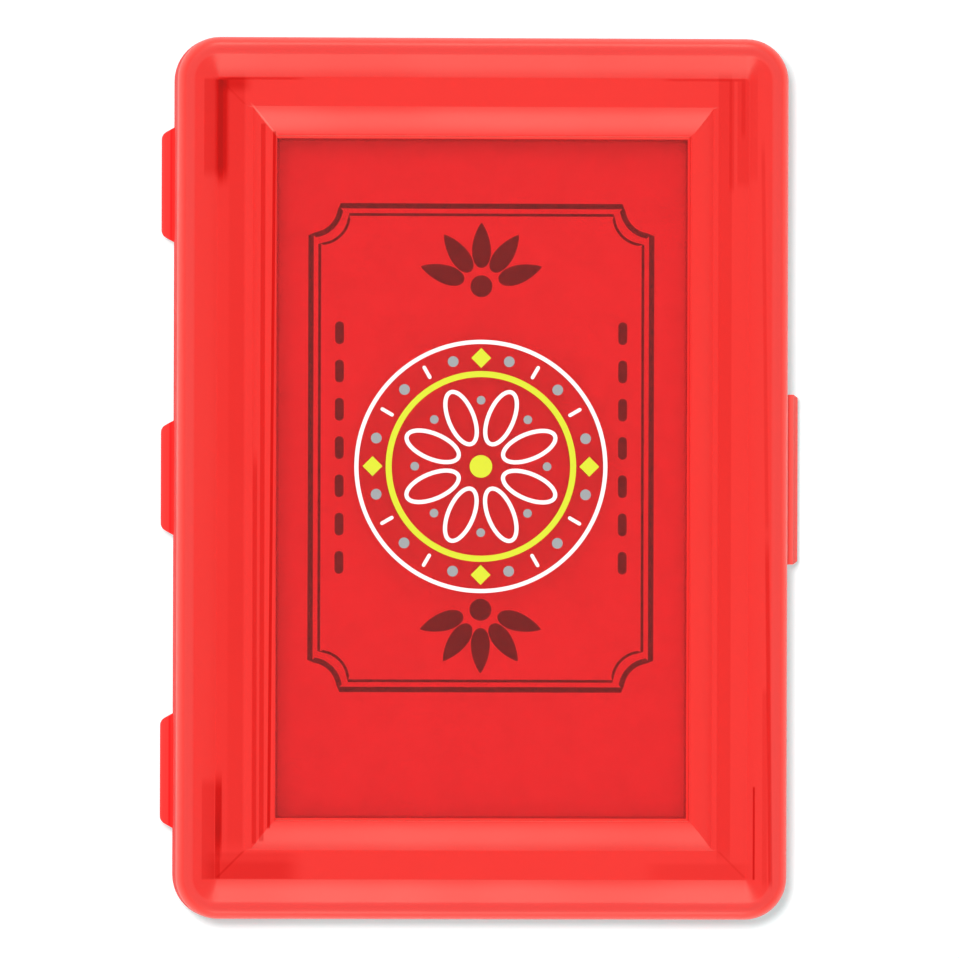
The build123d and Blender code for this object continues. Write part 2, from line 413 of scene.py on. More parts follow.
@dataclass(frozen=True)
class MouldedPlastic(Finish):
    """Clear red moulded plastic with a satin surface."""

    name: str = "red case plastic"
    colour: Colour = (1.0, 0.023, 0.021, 1.0)
    clearness: float = 0.25
    roughness: float = 0.75
    reflection_tint: Colour = (1.0, 0.95, 0.8, 1.0)
    refraction: float = 1.49
    grain_scale: float = 1400.0
    grain_detail: float = 3.0
    grain_depth: float = 0.000004
    grain_strength: float = 0.6
    flow_scale: float = 45.0
    flow_detail: float = 2.0
    flow_low: float = 0.3
    flow_high: float = 0.7
    smoothest: float = 0.9
    roughest: float = 1.12

    def look(self, sheet: NodeSheet, place: Source) -> Look:
        """Says what the plastic is like, which is the same everywhere unless a kind differs.

        Args:
            sheet: The node tree.
            place: The coordinates, in metres.

        Returns:
            The plastic's look.
        """
        return Look(self.colour, self.reflection_tint, self.clearness, self.roughness)

    def surface(self, sheet: NodeSheet, place: Source) -> Socket:
        """Builds the plastic with its fine grain and the uneven gloss of its flow.

        Args:
            sheet: The node tree.
            place: The coordinates, in metres.

        Returns:
            The shader.
        """
        look = self.look(sheet, place)
        grain = sheet.noise(place, self.grain_scale, self.grain_detail)
        flow = sheet.noise(place, self.flow_scale, self.flow_detail)
        gloss = sheet.ramp(flow, self.flow_low, self.flow_high, self.smoothest, self.roughest)
        inputs = {
            "Base Color": look.colour,
            "Specular Tint": look.reflection,
            "Transmission Weight": look.clearness,
            "Roughness": sheet.math("MULTIPLY", look.roughness, gloss),
            "IOR": self.refraction,
            "Normal": sheet.bump(grain, self.grain_depth, self.grain_strength),
        }
        return sheet.add("ShaderNodeBsdfPrincipled", inputs).outputs[0]


@dataclass
class LidAreas:
    """Where the areas of the lid's surface lie, each 1 inside and 0 outside."""

    axes: Outputs
    inset: Socket
    top: Socket
    window: Socket
    crest: Socket
    rim: Socket


@dataclass(frozen=True)
class LidPlastic(MouldedPlastic):
    """The lid's plastic: satin on walls and roll, polished on the window, with painted shade and painted
    highlights on the frame.
    """

    name: str = "lid plastic"
    roll_roughness: float = 0.31
    wall_top: float = 0.0195
    roll_top: float = 0.0214
    top_level: float = 0.0190
    softness: float = 0.00015
    half_width: float = 0.0353
    half_length: float = 0.0508
    corner_radius: float = 0.00505

    window_colour: Colour = (1.0, 0.1, 0.124, 1.0)
    window_clearness: float = 1.0
    window_roughness: float = 0.04
    window_middle: Point = (-0.0001, 0.0)
    window_half_width: float = 0.02365
    window_half_length: float = 0.03905
    # Painted shade along the window's rim, where the step's shadow falls
    window_rim_shade: float = 0.0004
    window_rim_shade_depth: float = 0.22

    # Painted highlight on the roll's crest, where the gloss would show the dim ceiling
    crest_highlight_colour: Colour = (1.0, 0.05, 0.046, 1.0)
    crest_roughness: float = 0.55
    crest_start: float = 0.02185
    crest_full: float = 0.02197

    # Painted highlight along the outer edge, for light through the wall; the rim is also cloudier
    edge_highlight_colour: Colour = (1.0, 0.078, 0.064, 1.0)
    edge_clearness: float = 0.05
    edge_inset: float = 0.0003
    edge_reach: float = 0.0015
    edge_low: float = 0.0190
    edge_high: float = 0.0206

    # Hinge leaf tops, with painted shadow at their root beside the wall
    leaf_colour: Colour = (1.0, 0.04, 0.037, 1.0)
    leaf_root_shadow_colour: Colour = (0.86, 0.008, 0.012, 1.0)
    leaf_root: float = -0.00016
    root_shadow_end: float = -0.00042
    leaf_top: float = 0.0124

    # Bands of painted shade, and how much they dim the red and the other channels
    streaks: tuple[ShadeBand, ...] = LID_PAINTED_SHADE
    streak_red_power: float = 0.5
    streak_rest_power: float = 2.0
    streak_rest_floor: float = 0.24
    glints: tuple[ShadeBand, ...] = LID_GLINTS
    glint_colour: Colour = (1.0, 0.2, 0.15, 1.0)

    def look(self, sheet: NodeSheet, place: Source) -> Look:
        """Says what each area of the lid is like.

        Args:
            sheet: The node tree.
            place: The coordinates, in metres.

        Returns:
            The lid's look.
        """
        areas = self.find_areas(sheet, place)
        # Painted shade dims the frame's colour and its reflection tint inside the bands
        streaks = self.streak_mask(sheet, areas, self.streaks)
        red = sheet.math("POWER", streaks, self.streak_red_power)
        rest = sheet.math("POWER", streaks, self.streak_rest_power)
        rest = sheet.math("MAXIMUM", rest, self.streak_rest_floor)
        frame_tint = sheet.filter_colour(self.frame_tint(sheet, areas), red, rest)
        return Look(
            colour=sheet.blend_colours(areas.window, frame_tint, self.pane_tint(sheet, areas)),
            reflection=sheet.filter_colour(self.reflection_tint, rest, rest),
            clearness=self.clear_areas(sheet, areas),
            roughness=self.satin_areas(sheet, areas),
        )

    def find_areas(self, sheet: NodeSheet, place: Source) -> LidAreas:
        """Finds the top, the window, the crest and the outer rim.

        Args:
            sheet: The node tree.
            place: The coordinates, in metres.

        Returns:
            The areas.
        """
        axes = sheet.axes(place)
        inset = self.distance_inside(sheet, axes)
        top = sheet.ramp(axes[2], self.top_level - self.softness, self.top_level, 0.0, 1.0)
        return LidAreas(
            axes=axes,
            inset=inset,
            top=top,
            window=sheet.math("MULTIPLY", self.window_mask(sheet, axes, 0.0), top),
            crest=sheet.ramp(axes[2], self.crest_start, self.crest_full, 0.0, 1.0),
            rim=sheet.ramp(inset, self.edge_inset, self.edge_reach, 1.0, 0.0),
        )

    def frame_tint(self, sheet: NodeSheet, areas: LidAreas) -> Socket:
        """Colours the frame, its crest and outer edge with painted highlights, the hinge leaves with
        painted shadow at the root, and the glints.

        Args:
            sheet: The node tree.
            areas: The lid's areas.

        Returns:
            The colour.
        """
        height = areas.axes[2]
        # Painted highlight: the crest is paler
        tint = sheet.blend_colours(areas.crest, self.colour, self.crest_highlight_colour)
        # Painted highlight along the outer edge, standing in for light through the wall
        risen = sheet.ramp(height, self.edge_low, self.edge_high, 0.0, 1.0)
        edge_highlight = sheet.math("MULTIPLY", areas.rim, risen)
        tint = sheet.blend_colours(edge_highlight, tint, self.edge_highlight_colour)
        # Hinge leaves, with painted shadow at their root beside the wall
        low = sheet.ramp(height, self.leaf_top, self.leaf_top + self.softness, 1.0, 0.0)
        beyond = sheet.ramp(areas.inset, self.leaf_root - self.softness, self.leaf_root, 1.0, 0.0)
        shadow_end = self.root_shadow_end
        in_root_shadow = sheet.ramp(areas.inset, shadow_end - self.softness, shadow_end, 0.0, 1.0)
        leaf_tint = sheet.blend_colours(in_root_shadow, self.leaf_colour, self.leaf_root_shadow_colour)
        tint = sheet.blend_colours(sheet.math("MULTIPLY", beyond, low), tint, leaf_tint)
        glints = sheet.math("SUBTRACT", 1.0, self.streak_mask(sheet, areas, self.glints))
        return sheet.blend_colours(glints, tint, self.glint_colour)

    def pane_tint(self, sheet: NodeSheet, areas: LidAreas) -> Socket:
        """Colours the window, with painted shade along its rim where the step's shadow falls.

        Args:
            sheet: The node tree.
            areas: The lid's areas.

        Returns:
            The colour.
        """
        off_rim = self.window_mask(sheet, areas.axes, self.window_rim_shade)
        share = sheet.between(off_rim, 1 - self.window_rim_shade_depth, 1.0)
        return sheet.blend_colours(share, BLACK, self.window_colour)

    def clear_areas(self, sheet: NodeSheet, areas: LidAreas) -> Socket:
        """Makes the window clear and the outer rim cloudy.

        Args:
            sheet: The node tree.
            areas: The lid's areas.

        Returns:
            How clear the plastic is, 0 to 1.
        """
        clearness = sheet.between(areas.rim, self.clearness, self.edge_clearness)
        return sheet.between(areas.window, clearness, self.window_clearness)

    def satin_areas(self, sheet: NodeSheet, areas: LidAreas) -> Socket:
        """Smooths the walls into the roll, dulls the crest and polishes the window.

        Args:
            sheet: The node tree.
            areas: The lid's areas.

        Returns:
            The roughness.
        """
        height = areas.axes[2]
        satin = sheet.ramp(height, self.wall_top, self.roll_top, self.roughness, self.roll_roughness)
        satin = sheet.between(areas.crest, satin, self.crest_roughness)
        return sheet.between(areas.window, satin, self.window_roughness)

    def window_mask(self, sheet: NodeSheet, axes: Outputs, inset: float) -> Socket:
        """Finds the window's rectangle, or a smaller one with a softer edge.

        Args:
            sheet: The node tree.
            axes: The coordinates' three outputs.
            inset: How far inside the window's edge the mask's edge fades.

        Returns:
            1 inside the rectangle and 0 outside it.
        """
        inside = []
        for axis, half in ((0, self.window_half_width), (1, self.window_half_length)):
            offset = sheet.math("SUBTRACT", axes[axis], self.window_middle[axis])
            distance = sheet.math("ABSOLUTE", offset)
            inside.append(sheet.ramp(distance, half - self.softness - inset, half, 1.0, 0.0))
        return sheet.math("MULTIPLY", inside[0], inside[1])

    def distance_inside(self, sheet: NodeSheet, axes: Outputs) -> Socket:
        """Measures how far in from the case's round-cornered outline a point lies.

        Args:
            sheet: The node tree.
            axes: The coordinates' three outputs.

        Returns:
            The distance in metres near the outline, and less than none outside it.
        """
        squares = []
        for axis, half in ((0, self.half_width), (1, self.half_length)):
            distance = sheet.math("ABSOLUTE", axes[axis])
            beyond = sheet.math("SUBTRACT", distance, half - self.corner_radius)
            beyond = sheet.math("MAXIMUM", beyond, 0.0)
            squares.append(sheet.math("MULTIPLY", beyond, beyond))
        from_centre = sheet.math("SQRT", sheet.math("ADD", squares[0], squares[1]))
        return sheet.math("SUBTRACT", self.corner_radius, from_centre)

    def streak_mask(self, sheet: NodeSheet, areas: LidAreas, streaks: tuple[ShadeBand, ...]) -> Socket:
        """Gathers painted bands on the lid's top: painted shade, and for the glints painted highlights.

        Args:
            sheet: The node tree.
            areas: The lid's areas.
            streaks: The painted bands.

        Returns:
            How much of the colour is left, 0 to 1.
        """
        left = 1.0
        for streak in streaks:
            left = sheet.math("MULTIPLY", left, streak.cover(sheet, areas.axes[0], areas.axes[1]))
        return sheet.between(areas.top, 1.0, left)


@dataclass(frozen=True)
class TonguePlastic(MouldedPlastic):
    """The latch tongue's plastic, paler above and below its middle height as a painted highlight."""

    name: str = "latch plastic"
    colour: Colour = (1.0, 0.04, 0.036, 1.0)
    clearness: float = 0.05
    roughness: float = 0.55
    # Painted highlight: paler away from the tongue's middle height
    highlight_colour: Colour = (1.0, 0.09, 0.075, 1.0)
    highlight_middle: float = 0.0110
    highlight_start: float = 0.0012
    highlight_full: float = 0.0027

    def look(self, sheet: NodeSheet, place: Source) -> Look:
        """Says where the tongue's painted highlight lies.

        Args:
            sheet: The node tree.
            place: The coordinates, in metres.

        Returns:
            The tongue's look.
        """
        offset = sheet.math("SUBTRACT", sheet.axes(place)[2], self.highlight_middle)
        distance = sheet.math("ABSOLUTE", offset)
        highlight = sheet.ramp(distance, self.highlight_start, self.highlight_full, 0.0, 1.0)
        colour = sheet.blend_colours(highlight, self.colour, self.highlight_colour)
        return Look(colour, self.reflection_tint, self.clearness, self.roughness)


@dataclass(frozen=True)
class CardStock(Finish):
    """Coated white playing card: faintly mottled, with a fine linen bump."""

    name: str = "white card stock"
    colour: Colour = srgb(231, 229, 226)
    shade: Colour = srgb(226, 224, 221)
    roughness: float = 0.45
    mottle_scale: float = 260.0
    mottle_detail: float = 4.0
    mottle_low: float = 0.35
    mottle_high: float = 0.75
    linen_scale: float = 2600.0
    linen_detail: float = 1.0
    linen_depth: float = 0.000006
    linen_strength: float = 0.4

    def surface(self, sheet: NodeSheet, place: Source) -> Socket:
        """Builds the mottled, linen-pressed card.

        Args:
            sheet: The node tree.
            place: The coordinates, in metres.

        Returns:
            The shader.
        """
        mottle = sheet.noise(place, self.mottle_scale, self.mottle_detail)
        share = sheet.ramp(mottle, self.mottle_low, self.mottle_high, 0.0, 1.0)
        linen = sheet.noise(place, self.linen_scale, self.linen_detail)
        inputs = {
            "Base Color": sheet.blend_colours(share, self.colour, self.shade),
            "Roughness": self.roughness,
            "Normal": sheet.bump(linen, self.linen_depth, self.linen_strength),
        }
        return sheet.add("ShaderNodeBsdfPrincipled", inputs).outputs[0]


@dataclass(frozen=True)
class PrintInk(Finish):
    """A thin film of opaque ink with slightly uneven cover."""

    colour: Colour
    thin_colour: Colour
    roughness: float
    cover_scale: float = 900.0
    cover_detail: float = 3.0
    cover_low: float = 0.55
    cover_high: float = 0.8

    def surface(self, sheet: NodeSheet, place: Source) -> Socket:
        """Builds the ink, which is a little thinner here and there.

        Args:
            sheet: The node tree.
            place: The coordinates, in metres.

        Returns:
            The shader.
        """
        cover = sheet.noise(place, self.cover_scale, self.cover_detail)
        thin = sheet.ramp(cover, self.cover_low, self.cover_high, 0.0, 1.0)
        inputs = {
            "Base Color": sheet.blend_colours(thin, self.colour, self.thin_colour),
            "Roughness": self.roughness,
        }
        return sheet.add("ShaderNodeBsdfPrincipled", inputs).outputs[0]


@dataclass(frozen=True)
class StudioFloor(Finish):
    """The pale table: it takes the case's shadow, and looks white where nothing shades it."""

    name: str = "pale table"
    colour: Colour = (0.9, 0.9, 0.9, 1.0)
    # The glow is cyan near the case, a little less so at its corners, painted to cancel the red light
    # bounced into its shadow
    near_glow: Colour = (0.04, 0.285, 0.285, 1.0)
    corner_glow: Colour = (0.05, 0.225, 0.225, 1.0)
    far_glow: Colour = (0.4, 0.4, 0.4, 1.0)
    corner_start: float = 0.0008
    corner_full: float = 0.0018
    near: float = 0.10
    far: float = 0.35

    def make(self) -> bpy.types.Material:
        """Builds the material, whose glow isn't sampled as a lamp.

        Returns:
            The finished material.
        """
        material = super().make()
        material.cycles.emission_sampling = "NONE"
        return material

    def surface(self, sheet: NodeSheet, place: Source) -> Socket:
        """Builds a matte top and the glow that lifts it to white.

        Corners are told apart by the product of X and Y, in square metres.

        Args:
            sheet: The node tree.
            place: The coordinates, in metres.

        Returns:
            The shader.
        """
        paths = sheet.add("ShaderNodeLightPath").outputs
        seen = sheet.math("MAXIMUM", paths["Is Camera Ray"], paths["Is Glossy Ray"])
        seen = sheet.math("MAXIMUM", seen, paths["Is Transmission Ray"])
        distance = sheet.add("ShaderNodeVectorMath", {0: place}, operation="LENGTH").outputs["Value"]
        outer = sheet.ramp(distance, self.near, self.far, 0.0, 1.0)
        axes = sheet.axes(place)
        area = sheet.math("ABSOLUTE", sheet.math("MULTIPLY", axes[0], axes[1]))
        corner = sheet.ramp(area, self.corner_start, self.corner_full, 0.0, 1.0)
        tint = sheet.blend_colours(corner, self.near_glow, self.corner_glow)
        tint = sheet.blend_colours(outer, tint, self.far_glow)
        matte = sheet.add("ShaderNodeBsdfDiffuse", {"Color": self.colour})
        glow = sheet.add("ShaderNodeEmission", {"Color": tint, "Strength": seen})
        return sheet.add("ShaderNodeAddShader", {0: matte.outputs[0], 1: glow.outputs[0]}).outputs[0]


def join_rows(mesh: bmesh.types.BMesh, first: list, second: list) -> None:
    """Joins two rows of vertices with four-sided faces.

    Args:
        mesh: The mesh.
        first: One row's vertices.
        second: The other row's, as many.
    """
    for j in range(len(first) - 1):
        mesh.faces.new((first[j], first[j + 1], second[j + 1], second[j]))


def make_object(name: str, mesh: bmesh.types.BMesh) -> bpy.types.Object:
    """Turns a mesh into an object in the scene.

    Args:
        name: The object's name.
        mesh: The mesh, which is freed.

    Returns:
        The object.
    """
    data = bpy.data.meshes.new(name)
    mesh.to_mesh(data)
    mesh.free()
    piece = bpy.data.objects.new(name, data)
    bpy.context.scene.collection.objects.link(piece)
    return piece


def heading(turn: float) -> Vector:
    """The direction at an angle from +X."""
    return Vector((cos(turn), sin(turn)))


def circle(centre: Vector, radius: float, count: int) -> list[Point]:
    """Points round a circle.

    Args:
        centre: The circle's centre.
        radius: Its radius.
        count: How many points.

    Returns:
        The points, anticlockwise.
    """
    turns = [tau * i / count for i in range(count)]
    return [(centre.x + radius * cos(turn), centre.y + radius * sin(turn)) for turn in turns]


def rectangle(
    centre: Vector, width: float, length: float, radius: float, corner: Corner, steps: int
) -> list[Point]:
    """Points round a rectangle whose corners are rounded off or scooped out.

    Args:
        centre: The rectangle's centre.
        width: Its size along X.
        length: Its size along Y.
        radius: The corners' radius.
        corner: The corners' shape.
        steps: Sides in each corner.

    Returns:
        The points, anticlockwise.
    """
    is_round = corner is Corner.ROUND
    inset = radius if is_round else 0.0
    points = []
    for quarter, (right, up) in enumerate(((1, 1), (-1, 1), (-1, -1), (1, -1))):
        x = centre.x + right * (width / 2 - inset)
        y = centre.y + up * (length / 2 - inset)
        for step in range(steps + 1):
            share = step / steps
            turn = (quarter + share if is_round else quarter + 3 - share) * pi / 2
            points.append((x + radius * cos(turn), y + radius * sin(turn)))
    return points


def bar_outline(centre: Vector, turn: float, length: float, width: float) -> list[Point]:
    """Points round a short bar with round ends.

    The ends' radius is a hair under half the width, so that no two points coincide.

    Args:
        centre: The bar's centre.
        turn: The angle that it points in.
        length: Its whole length.
        width: Its width.

    Returns:
        The points, anticlockwise.
    """
    hair, steps = 1e-6, 6
    shape = rectangle(Vector((0.0, 0.0)), length, width, width / 2 - hair, Corner.ROUND, steps)
    return [
        (centre.x + x * cos(turn) - y * sin(turn), centre.y + x * sin(turn) + y * cos(turn))
        for x, y in shape
    ]


@dataclass
class InkFilm:
    """Flat closed shapes of one ink, gathered into one mesh."""

    name: str
    level: float
    thickness: float
    ink: PrintInk
    body: Body
    slot: Slot
    mesh: bmesh.types.BMesh = field(default_factory=bmesh.new)

    def plate(self, outer: list[Point], inner: list[Point] | None = None) -> None:
        """Adds a flat shape, or a closed band between two outlines with as many points each.

        Args:
            outer: The outline, anticlockwise.
            inner: The hole's outline, point for point with the outer one.
        """
        outlines = [outer, inner] if inner else [outer]
        rows = [
            [self.mesh.verts.new((x, y, height)) for x, y in outline]
            for height in (self.level, self.level + self.thickness)
            for outline in outlines
        ]
        if inner:
            low_out, low_in, high_out, high_in = rows
            strips = (
                (low_in, low_out),
                (high_out, high_in),
                (low_out, high_out),
                (high_in, low_in),
            )
        else:
            low_out, high_out = rows
            self.mesh.faces.new(reversed(low_out))
            self.mesh.faces.new(high_out)
            strips = ((low_out, high_out),)
        for first, second in strips:
            join_rows(self.mesh, first + first[:1], second + second[:1])

    def line(self, path: list[Point], width: float) -> None:
        """Adds a closed line of even width along a path.

        Args:
            path: The closed path's points.
            width: The line's width.
        """
        count = len(path)
        outer, inner = [], []
        for i, (x, y) in enumerate(path):
            before, after = Vector(path[i - 1]), Vector(path[(i + 1) % count])
            along = (after - before).normalized()
            side = Vector((along.y, -along.x)) * width / 2
            outer.append((x + side.x, y + side.y))
            inner.append((x - side.x, y - side.y))
        self.plate(outer, inner)

    def finish(self) -> None:
        """Turns the shapes into a piece that rides on its body."""
        bmesh.ops.recalc_face_normals(self.mesh, faces=self.mesh.faces)
        piece = make_object(self.name, self.mesh)
        piece.data.materials.append(self.ink.make())
        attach(piece, self.body.value)
        log.info("%s: %d faces on %s", self.name, len(piece.data.polygons), self.body.value)


@dataclass
class MouldedHalves:
    """The tray, the lid and the latch tongue: their solids, given the case's plastic."""

    lid_finish: LidPlastic = LidPlastic()
    tray_finish: MouldedPlastic = MouldedPlastic()
    tongue_finish: TonguePlastic = TonguePlastic()

    def dress(self) -> None:
        """Gives each half and the tongue its finish."""
        for node, finish in (
            ("lid_cover", self.lid_finish),
            ("base_tray", self.tray_finish),
            ("latch_tongue", self.tongue_finish),
        ):
            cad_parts[node].material_slots[0].material = finish.make()
            log.info("%s: %s", node, finish.name)


@dataclass
class HingeStrips:
    """The three folded strips of the living hinges."""

    names: tuple[str, ...] = ("upper", "middle", "lower")
    thickness: float = 0.0003
    fold_steps: int = 14
    length_steps: int = 24
    corner_radius: float = 0.001
    crisp_angle: float = radians(40)
    finish: MouldedPlastic = MouldedPlastic("hinge plastic", (1.0, 0.038, 0.036, 1.0), clearness=0.1)

    def build(self) -> None:
        """Builds the strips in place of their solids."""
        plastic = self.finish.make()
        for name in self.names:
            low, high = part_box(f"hinge_web_{name}")
            middle = (low.z + high.z) / 2
            outer = (high.z - low.z) / 2
            strip = self.fold(f"hinge_strip_{name}", low, high, middle, outer)
            strip.data.materials.append(plastic)
            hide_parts(f"hinge_web_{name}")
            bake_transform(strip)
            log.info("%s: %d faces", strip.name, len(strip.data.polygons))

    def fold(
        self, name: str, low: Vector, high: Vector, middle: float, outer: float
    ) -> bpy.types.Object:
        """Builds one strip, folded in a half circle, its ends rounded in plan as the leaves are.

        Args:
            name: The piece's name.
            low: The lowest corner of the solid's box.
            high: The highest corner of the solid's box.
            middle: The height of the fold's axis.
            outer: The fold's outer radius.

        Returns:
            The strip.
        """
        mesh = bmesh.new()
        half = (high.y - low.y) / 2
        centre_y = (high.y + low.y) / 2
        corner_x = low.x + self.corner_radius
        corner_start = (self.corner_radius**2 - (high.x - corner_x) ** 2) ** 0.5
        shares = [2 * j / self.length_steps - 1 for j in range(self.length_steps + 1)]
        rings = []
        for i in range(self.fold_steps + 1):
            turn = pi / 2 + pi * i / self.fold_steps
            ring = []
            for radius in (outer, outer - self.thickness):
                x = high.x + radius * cos(turn)
                z = middle + radius * sin(turn)
                round_off = max(0.0, self.corner_radius**2 - (x - corner_x) ** 2) ** 0.5
                reach = half - (corner_start - round_off)
                ring.append([mesh.verts.new((x, centre_y + reach * share, z)) for share in shares])
            rings.append(ring)
        for (outside, inside), (next_outside, next_inside) in zip(rings, rings[1:]):
            join_rows(mesh, outside, next_outside)
            join_rows(mesh, inside, next_inside)
            for j in (0, self.length_steps):
                mesh.faces.new((outside[j], inside[j], next_inside[j], next_outside[j]))
        for outside, inside in (rings[0], rings[-1]):
            join_rows(mesh, outside, inside)
        bmesh.ops.recalc_face_normals(mesh, faces=mesh.faces)
        for face in mesh.faces:
            face.smooth = True
        for edge in mesh.edges:
            edge.smooth = edge.calc_face_angle(0.0) < self.crisp_angle
        return make_object(name, mesh)


@dataclass
class Deck:
    """The cards, and the plain dark ornament printed on the top one."""

    stock: CardStock = CardStock()
    ink: PrintInk = PrintInk("dark card ink", srgb(36, 26, 26), srgb(46, 34, 34), 0.5)
    ink_thickness: float = 0.00002
    border_width: float = 0.0392
    border_length: float = 0.0556
    border_notch: float = 0.0034
    border_line: float = 0.0006
    inner_line: float = 0.0003
    line_gap: float = 0.0010
    notch_steps: int = 10
    fan_distance: float = 0.0186
    fan_leaves: int = 5
    fan_spread: float = radians(36)
    leaf_start: float = 0.0021
    leaf_length: float = 0.0052
    leaf_width: float = 0.0023
    leaf_fullness: float = 1.15
    leaf_taper: float = 0.35
    leaf_points: int = 28
    root_radius: float = 0.00125
    root_points: int = 32
    dash_count: int = 7
    dash_pitch: float = 0.0044
    dash_length: float = 0.0026
    dash_width: float = 0.0010
    dash_distance: float = 0.0163

    def build(self) -> None:
        """Gives the cards their stock and prints the top one."""
        card_material = self.stock.make()
        cards = sorted(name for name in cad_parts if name.startswith("card_"))
        for name in cards:
            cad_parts[name].material_slots[0].material = card_material
        log.info("deck: %d cards", len(cards))
        low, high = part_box(cards[-1])
        centre = Vector(((low.x + high.x) / 2, (low.y + high.y) / 2))
        film = InkFilm("card_print", high.z, self.ink_thickness, self.ink, Body.BASE, Slot.CARD)
        for inset, line in ((0.0, self.border_line), (self.line_gap, self.inner_line)):
            width, length = self.border_width - 2 * inset, self.border_length - 2 * inset
            notch, steps = self.border_notch, self.notch_steps
            film.line(rectangle(centre, width, length, notch, Corner.SCOOPED, steps), line)
        for side in (1, -1):
            self.print_fan(film, centre, side)
            self.print_dashes(film, centre, side)
        film.finish()

    def print_fan(self, film: InkFilm, centre: Vector, side: int) -> None:
        """Prints a fan of leaves on a disc.

        Args:
            film: The ink.
            centre: The card's centre.
            side: 1 for the upper fan and -1 for the lower one.
        """
        root = centre + Vector((0.0, side * self.fan_distance))
        film.plate(circle(root, self.root_radius, self.root_points))
        for i in range(self.fan_leaves):
            turn = side * pi / 2 + (i - (self.fan_leaves - 1) / 2) * self.fan_spread
            film.plate(self.leaf(root + heading(turn) * self.leaf_start, turn))

    def leaf(self, root: Vector, turn: float) -> list[Point]:
        """Points round a leaf that is pointed at its tip and round at its root.

        Args:
            root: The leaf's root.
            turn: The angle that it points in.

        Returns:
            The points, anticlockwise.
        """
        along, across = heading(turn), Vector((-sin(turn), cos(turn)))
        points = []
        for i in range(self.leaf_points):
            share = tau * i / self.leaf_points
            reach = (1 - cos(share)) / 2
            swell = sin(share) * (1 - reach) ** self.leaf_taper
            half_width = self.leaf_width / 2 * self.leaf_fullness * swell
            point = root + along * (self.leaf_length * reach) + across * half_width
            points.append((point.x, point.y))
        return points

    def print_dashes(self, film: InkFilm, centre: Vector, side: int) -> None:
        """Prints a column of dashes.

        Args:
            film: The ink.
            centre: The card's centre.
            side: 1 for the column on the right and -1 for the one on the left.
        """
        for i in range(self.dash_count):
            y = (i - (self.dash_count - 1) / 2) * self.dash_pitch
            place = centre + Vector((side * self.dash_distance, y))
            film.plate(bar_outline(place, pi / 2, self.dash_length, self.dash_width))


@dataclass
class WindowPrint:
    """The medallion printed on the window: white petals in a yellow ring, beads and diamonds."""

    centre: Vector = field(default_factory=lambda: Vector((-0.0002, 0.0014)))
    drop_below_top: float = 0.0009
    ink_thickness: float = 0.00003
    line: float = 0.00048
    petal_count: int = 8
    petal_middle: float = 0.0060
    petal_half_length: float = 0.0032
    petal_half_width: float = 0.00145
    petal_points: int = 40
    dot_radius: float = 0.0005
    dot_points: int = 20
    heart_radius: float = 0.0013
    heart_points: int = 48
    ring_radius: float = 0.0106
    ring_line: float = 0.0007
    ring_points: int = 128
    bead_count: int = 24
    bead_circle: float = 0.01245
    bead_radius: float = 0.00062
    bead_points: int = 24
    bar_length: float = 0.0017
    bar_width: float = 0.00042
    diamond_spacing: int = 6
    diamond_radius: float = 0.00115
    diamond_points: int = 4
    rim_radius: float = 0.0143
    rim_points: int = 160
    white: PrintInk = PrintInk("white window ink", srgb(250, 250, 250), srgb(243, 243, 243), 0.35)
    yellow: PrintInk = PrintInk("yellow window ink", srgb(222, 227, 48), srgb(214, 220, 56), 0.35)
    grey: PrintInk = PrintInk("grey window ink", srgb(160, 162, 164), srgb(152, 154, 157), 0.35)

    def build(self) -> None:
        """Prints the three inks."""
        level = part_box("lid_cover")[1].z - self.drop_below_top
        white, yellow, grey = (
            InkFilm(f"window_print_{name}", level, self.ink_thickness, ink, Body.LID, Slot.CARD)
            for name, ink in (("white", self.white), ("yellow", self.yellow), ("grey", self.grey))
        )
        dot_circle = self.petal_middle + self.petal_half_length / 2
        for i in range(self.petal_count):
            white.line(self.petal(tau * (i + 0.5) / self.petal_count), self.line)
            place = self.centre + heading(tau * i / self.petal_count) * dot_circle
            grey.plate(circle(place, self.dot_radius, self.dot_points))
        yellow.plate(circle(self.centre, self.heart_radius, self.heart_points))
        yellow.line(circle(self.centre, self.ring_radius, self.ring_points), self.ring_line)
        white.line(circle(self.centre, self.rim_radius, self.rim_points), self.line)
        for i in range(self.bead_count):
            turn = tau * i / self.bead_count
            place = self.centre + heading(turn) * self.bead_circle
            if i % self.diamond_spacing == 0:
                yellow.plate(circle(place, self.diamond_radius, self.diamond_points))
            elif i % 2:
                grey.plate(circle(place, self.bead_radius, self.bead_points))
            else:
                white.plate(bar_outline(place, turn, self.bar_length, self.bar_width))
        for film in (white, yellow, grey):
            film.finish()

    def petal(self, turn: float) -> list[Point]:
        """Points round one petal.

        Args:
            turn: The angle that it points in.

        Returns:
            The points, anticlockwise.
        """
        along, across = heading(turn), Vector((-sin(turn), cos(turn)))
        points = []
        for j in range(self.petal_points):
            share = tau * j / self.petal_points
            reach = self.petal_middle + self.petal_half_length * cos(share)
            point = self.centre + along * reach + across * (self.petal_half_width * sin(share))
            points.append((point.x, point.y))
        return points


@dataclass(frozen=True)
class Softbox:
    """A bright panel that only the gloss sees. A brightness of 1 looks white."""

    name: str
    place: Place
    brightness: float
    width: float = 0.45
    height: float = 0.75


